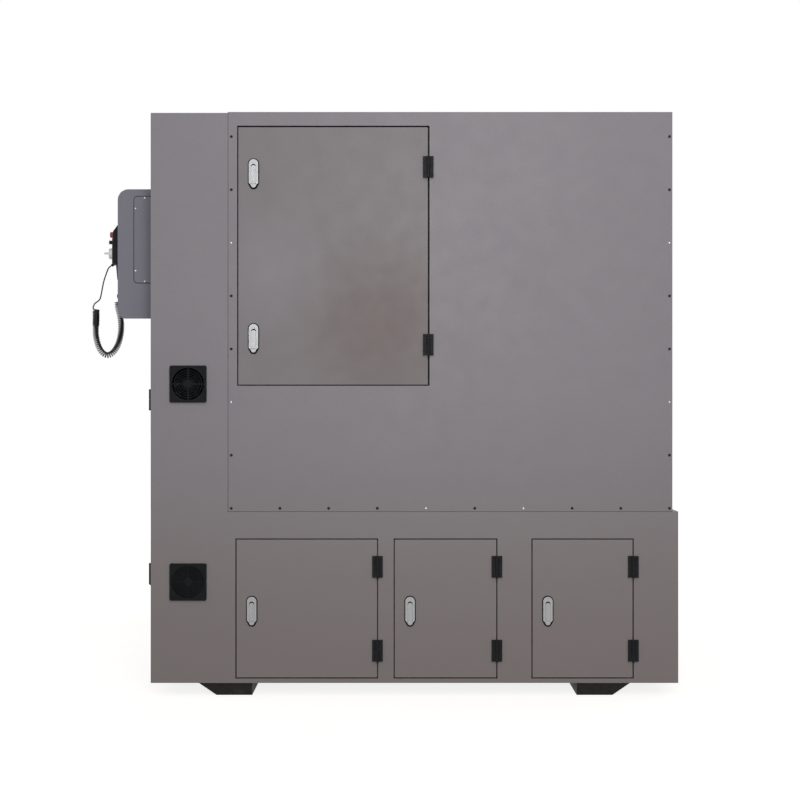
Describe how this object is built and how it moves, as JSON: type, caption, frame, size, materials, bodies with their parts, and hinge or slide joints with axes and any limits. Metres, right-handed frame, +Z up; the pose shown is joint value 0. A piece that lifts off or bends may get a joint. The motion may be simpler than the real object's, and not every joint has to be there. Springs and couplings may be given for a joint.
{
  "type": "cnc milling machine",
  "caption": "Enclosed CNC milling machine with side service doors, a front control box with hand pulse generator, a sliding front door and a portal mill inside.",
  "frame": {"origin": "on the floor, in the middle of the four levelling holes in the skids", "axes": "+Z up, -Y towards the operator, +X towards the service doors"},
  "size_m": [1.613, 2.0541, 1.99],
  "materials": {
    "enclosure_paint": "satin",
    "box_paint": "satin",
    "stand_paint": "satin",
    "skid_paint": "matte",
    "hinge_black": "matte",
    "lock_zinc": "satin",
    "screw_black": "matte",
    "fan_plastic": "matte",
    "window_glass": "gloss",
    "machine_iron": "satin",
    "ground_steel": "satin",
    "motor_paint": "satin",
    "drive_plastic": "matte",
    "face_plastic": "matte",
    "handset_plastic": "satin",
    "stop_red": "gloss",
    "wheel_aluminium": "satin",
    "cord_rubber": "satin",
    "tank_steel": "satin",
    "lube_plastic": "satin"
  },
  "bodies": {
    "root": {"axis_motors": "motor_paint", "base_stand": "stand_paint", "bed": "machine_iron", "control_box": "box_paint", "control_face": "face_plastic", "control_side_cover": "box_paint", "coolant_tank": "tank_steel", "electrical_partition": "stand_paint", "fan_guards": "fan_plastic", "fixed_window": "window_glass", "front_panel": "enclosure_paint", "handset_curl": "cord_rubber", "handset_lead": "cord_rubber", "hinge_frame_leaves": "hinge_black", "left_side": "enclosure_paint", "lube_unit": "lube_plastic", "panel_screws": "screw_black", "portal": "machine_iron", "pulse_body": "handset_plastic", "rear_panel": "enclosure_paint", "right_frame": "enclosure_paint", "right_panel": "enclosure_paint", "roof_panel": "enclosure_paint", "servo_drives": "drive_plastic", "skids": "skid_paint"},
    "upper_door": {"upper_door": "enclosure_paint", "upper_door_hinge_leaves": "hinge_black", "upper_door_lock": "lock_zinc"},
    "upper_lever_top": {"upper_lever_top": "lock_zinc"},
    "upper_lever_bottom": {"upper_lever_bottom": "lock_zinc"},
    "lower_front_door": {"lower_front_door": "enclosure_paint", "lower_front_door_hinge_leaves": "hinge_black", "lower_front_door_lock": "lock_zinc"},
    "lower_front_lever": {"lower_front_lever": "lock_zinc"},
    "lower_middle_door": {"lower_middle_door": "enclosure_paint", "lower_middle_door_hinge_leaves": "hinge_black", "lower_middle_door_lock": "lock_zinc"},
    "lower_middle_lever": {"lower_middle_lever": "lock_zinc"},
    "lower_rear_door": {"lower_rear_door": "enclosure_paint", "lower_rear_door_hinge_leaves": "hinge_black", "lower_rear_door_lock": "lock_zinc"},
    "lower_rear_lever": {"lower_rear_lever": "lock_zinc"},
    "cabinet_door": {"cabinet_door": "enclosure_paint", "cabinet_door_hinge_leaves": "hinge_black", "cabinet_door_lock": "lock_zinc"},
    "cabinet_lever": {"cabinet_lever": "lock_zinc"},
    "front_door": {"front_door": "enclosure_paint", "front_door_window": "window_glass"},
    "table": {"table": "ground_steel"},
    "y_screw": {"y_ballscrew": "ground_steel"},
    "saddle": {"x_saddle": "machine_iron"},
    "x_screw": {"x_ballscrew": "ground_steel"},
    "head": {"z_head": "machine_iron", "spindle_body": "ground_steel"},
    "z_screw": {"z_ballscrew": "ground_steel"},
    "spindle": {"spindle": "ground_steel"},
    "pulse_wheel": {"pulse_wheel": "wheel_aluminium"},
    "pulse_selector": {"pulse_selector": "handset_plastic"},
    "pulse_stop": {"pulse_stop": "stop_red"},
    "fan_rotor": {"fan_rotor": "fan_plastic"}
  },
  "joints": [
    {"name": "upper_door_swing", "type": "hinge", "parent": "root", "child": "upper_door", "pos_m": [0.8065, 0.047, 1.499], "axis": [0, 0, 1], "range_deg": [0, 110]},
    {"name": "upper_lever_top_pull", "type": "hinge", "parent": "upper_door", "child": "upper_lever_top", "pos_m": [0.8, -0.549, 1.746], "axis": [0, 1, 0], "range_deg": [0, 35]},
    {"name": "upper_lever_bottom_pull", "type": "hinge", "parent": "upper_door", "child": "upper_lever_bottom", "pos_m": [0.8, -0.549, 1.184], "axis": [0, 1, 0], "range_deg": [0, 35]},
    {"name": "lower_front_door_swing", "type": "hinge", "parent": "root", "child": "lower_front_door", "pos_m": [0.8065, -0.12601, 0.296], "axis": [0, 0, 1], "range_deg": [0, 110]},
    {"name": "lower_front_lever_pull", "type": "hinge", "parent": "lower_front_door", "child": "lower_front_lever", "pos_m": [0.8, -0.555, 0.254], "axis": [0, 1, 0], "range_deg": [0, 35]},
    {"name": "lower_middle_door_swing", "type": "hinge", "parent": "root", "child": "lower_middle_door", "pos_m": [0.8065, 0.28095, 0.296], "axis": [0, 0, 1], "range_deg": [0, 110]},
    {"name": "lower_middle_lever_pull", "type": "hinge", "parent": "lower_middle_door", "child": "lower_middle_lever", "pos_m": [0.8, -0.01501, 0.254], "axis": [0, 1, 0], "range_deg": [0, 35]},
    {"name": "lower_rear_door_swing", "type": "hinge", "parent": "root", "child": "lower_rear_door", "pos_m": [0.8065, 0.746, 0.296], "axis": [0, 0, 1], "range_deg": [0, 110]},
    {"name": "lower_rear_lever_pull", "type": "hinge", "parent": "lower_rear_door", "child": "lower_rear_lever", "pos_m": [0.8, 0.45494, 0.254], "axis": [0, 1, 0], "range_deg": [0, 35]},
    {"name": "cabinet_door_swing", "type": "hinge", "parent": "root", "child": "cabinet_door", "pos_m": [0.766, -0.9065, 0.709], "axis": [0, 0, 1], "range_deg": [0, 110]},
    {"name": "cabinet_lever_pull", "type": "hinge", "parent": "cabinet_door", "child": "cabinet_lever", "pos_m": [0.416, -0.9, 0.675], "axis": [1, 0, 0], "range_deg": [0, 35]},
    {"name": "front_door_slide", "type": "slide", "parent": "root", "child": "front_door", "axis": [-1, 0, 0], "range_m": [0, 0.52]},
    {"name": "table_slide", "type": "slide", "parent": "root", "child": "table", "axis": [0, 1, 0], "range_m": [-0.19, 0.19]},
    {"name": "y_screw_turn", "type": "hinge", "parent": "root", "child": "y_screw", "pos_m": [0, 0, 0.75], "axis": [0, 1, 0], "range_deg": [-6900, 6900]},
    {"name": "saddle_slide", "type": "slide", "parent": "root", "child": "saddle", "axis": [1, 0, 0], "range_m": [-0.22, 0.22]},
    {"name": "x_screw_turn", "type": "hinge", "parent": "root", "child": "x_screw", "pos_m": [0, 0.145, 1.39], "axis": [1, 0, 0], "range_deg": [-7980, 7980]},
    {"name": "head_slide", "type": "slide", "parent": "saddle", "child": "head", "axis": [0, 0, 1], "range_m": [-0.15, 0]},
    {"name": "z_screw_turn", "type": "hinge", "parent": "saddle", "child": "z_screw", "pos_m": [0, 0.075, 1.39], "axis": [0, 0, 1], "range_deg": [-5460, 60]},
    {"name": "spindle_spin", "type": "hinge", "parent": "head", "child": "spindle", "pos_m": [0, -0.045, 1.2], "axis": [0, 0, 1], "continuous": true},
    {"name": "pulse_wheel_spin", "type": "hinge", "parent": "root", "child": "pulse_wheel", "pos_m": [0.58, -1.075, 1.532], "axis": [0, 1, 0], "continuous": true},
    {"name": "pulse_selector_turn", "type": "hinge", "parent": "root", "child": "pulse_selector", "pos_m": [0.58, -1.075, 1.573], "axis": [0, 1, 0], "range_deg": [-60, 60]},
    {"name": "pulse_stop_press", "type": "slide", "parent": "root", "child": "pulse_stop", "axis": [0, 1, 0], "range_m": [0, 0.004], "stiffness_N_per_m": 600},
    {"name": "fan_spin", "type": "hinge", "parent": "root", "child": "fan_rotor", "pos_m": [0.8, -0.772, 1.062], "axis": [1, 0, 0], "continuous": true}
  ],
  "couplings": [
    {"joint": "y_screw_turn", "follows": "table_slide", "rad_per_m": 628.32},
    {"joint": "x_screw_turn", "follows": "saddle_slide", "rad_per_m": 628.32},
    {"joint": "z_screw_turn", "follows": "head_slide", "rad_per_m": 628.32}
  ]
}
